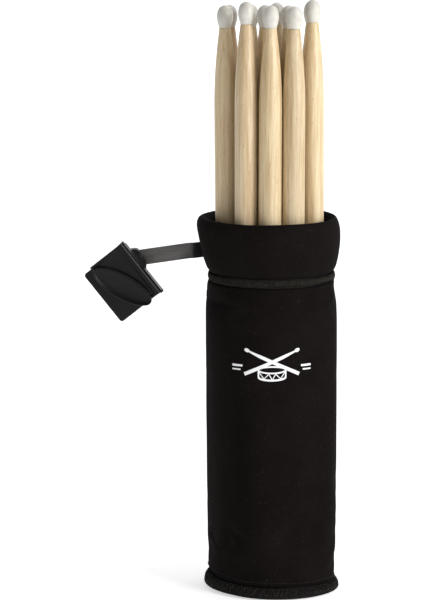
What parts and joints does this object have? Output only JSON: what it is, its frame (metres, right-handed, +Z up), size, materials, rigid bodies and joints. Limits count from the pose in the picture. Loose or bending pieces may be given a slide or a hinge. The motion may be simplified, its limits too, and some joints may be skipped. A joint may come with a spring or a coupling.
{
  "type": "drum stick bag",
  "caption": "Clamp-on holder for drum sticks: a black padded round pouch with a folded collar, and a steel side arm with a sprung stand clamp; pale wooden sticks stand in it.",
  "frame": {"origin": "centre of the base's underside, on the liner's axis", "axes": "+Z up along the pouch and the sticks, -Y the printed front, -X the side the arm and clamp reach out on"},
  "size_m": [0.1794, 0.0998, 0.4175],
  "materials": {
    "neoprene": "matt knitted face over foam rubber",
    "binding_tape": "brushed woven tape",
    "liner_plastic": "matt sheet",
    "clamp_plastic": "fine satin moulding",
    "strip_steel": "dark oxide, brushed lengthwise",
    "bright_steel": "zinc plated",
    "pad_rubber": "matt",
    "maple": "clear satin lacquer",
    "nylon": "smooth natural nylon"
  },
  "bodies": {
    "bag": {"neoprene_sleeve": "neoprene", "base_pad": "neoprene", "collar": "neoprene", "base_binding": "binding_tape", "collar_binding": "binding_tape", "liner_tube": "liner_plastic", "liner_floor": "liner_plastic", "collar_hoop": "strip_steel", "arm_strip": "strip_steel", "hoop_rivet_1": "strip_steel", "hoop_rivet_2": "strip_steel", "flat_washer": "bright_steel"},
    "clamp_rear": {"rear_jaw": "clamp_plastic", "rear_jaw_pad": "pad_rubber", "hinge_pin": "bright_steel", "pin_cap_1": "bright_steel", "pin_cap_2": "bright_steel", "spring_washer": "bright_steel", "swivel_screw": "bright_steel", "torsion_spring": "bright_steel"},
    "clamp_front": {"front_jaw": "clamp_plastic", "front_jaw_pad": "pad_rubber"},
    "stick_01": {"stick_01_shaft": "maple", "stick_01_tip": "nylon"},
    "stick_02": {"stick_02_shaft": "maple", "stick_02_tip": "nylon"},
    "stick_03": {"stick_03_shaft": "maple", "stick_03_tip": "nylon"},
    "stick_04": {"stick_04_shaft": "maple", "stick_04_tip": "nylon"},
    "stick_05": {"stick_05_shaft": "maple", "stick_05_tip": "nylon"},
    "stick_06": {"stick_06_shaft": "maple", "stick_06_tip": "nylon"},
    "stick_07": {"stick_07_shaft": "maple", "stick_07_tip": "nylon"},
    "stick_08": {"stick_08_shaft": "maple", "stick_08_tip": "nylon"},
    "stick_09": {"stick_09_shaft": "maple", "stick_09_tip": "nylon"},
    "stick_10": {"stick_10_shaft": "maple", "stick_10_tip": "nylon"},
    "stick_11": {"stick_11_shaft": "maple", "stick_11_tip": "nylon"}
  },
  "joints": [
    {"name": "clamp_swivel", "type": "hinge", "parent": "bag", "child": "clamp_rear", "pos_m": [-0.0958, 0.01195, 0.2323], "axis": [0, 1, 0], "continuous": true},
    {"name": "clamp_squeeze", "type": "hinge", "parent": "clamp_rear", "child": "clamp_front", "pos_m": [-0.10453, 0, 0.21728], "axis": [0.6184, 0, -0.7859], "range_deg": [0, 30], "stiffness_Nm_per_rad": 0.3, "springref_deg": -45.84, "deforming": ["torsion_spring"]},
    {"name": "stick_01_lift", "type": "slide", "parent": "bag", "child": "stick_01", "axis": [-0.0096, 0, 1], "range_m": [0, 0.262]},
    {"name": "stick_02_lift", "type": "slide", "parent": "bag", "child": "stick_02", "axis": [-0.001, 0.0005, 1], "range_m": [0, 0.262]},
    {"name": "stick_03_lift", "type": "slide", "parent": "bag", "child": "stick_03", "axis": [0.0022, 0, 1], "range_m": [0, 0.262]},
    {"name": "stick_04_lift", "type": "slide", "parent": "bag", "child": "stick_04", "axis": [0.0022, 0, 1], "range_m": [0, 0.262]},
    {"name": "stick_05_lift", "type": "slide", "parent": "bag", "child": "stick_05", "axis": [-0.0029, 0, 1], "range_m": [0, 0.262]},
    {"name": "stick_06_lift", "type": "slide", "parent": "bag", "child": "stick_06", "axis": [-0.0025, 0, 1], "range_m": [0, 0.262]},
    {"name": "stick_07_lift", "type": "slide", "parent": "bag", "child": "stick_07", "axis": [-0.0049, 0, 1], "range_m": [0, 0.262]},
    {"name": "stick_08_lift", "type": "slide", "parent": "bag", "child": "stick_08", "axis": [-0.0029, 0, 1], "range_m": [0, 0.262]},
    {"name": "stick_09_lift", "type": "slide", "parent": "bag", "child": "stick_09", "axis": [-0.0029, 0, 1], "range_m": [0, 0.262]},
    {"name": "stick_10_lift", "type": "slide", "parent": "bag", "child": "stick_10", "axis": [-0.001, 0, 1], "range_m": [0, 0.262]},
    {"name": "stick_11_lift", "type": "slide", "parent": "bag", "child": "stick_11", "axis": [-0.0015, 0, 1], "range_m": [0, 0.262]}
  ]
}
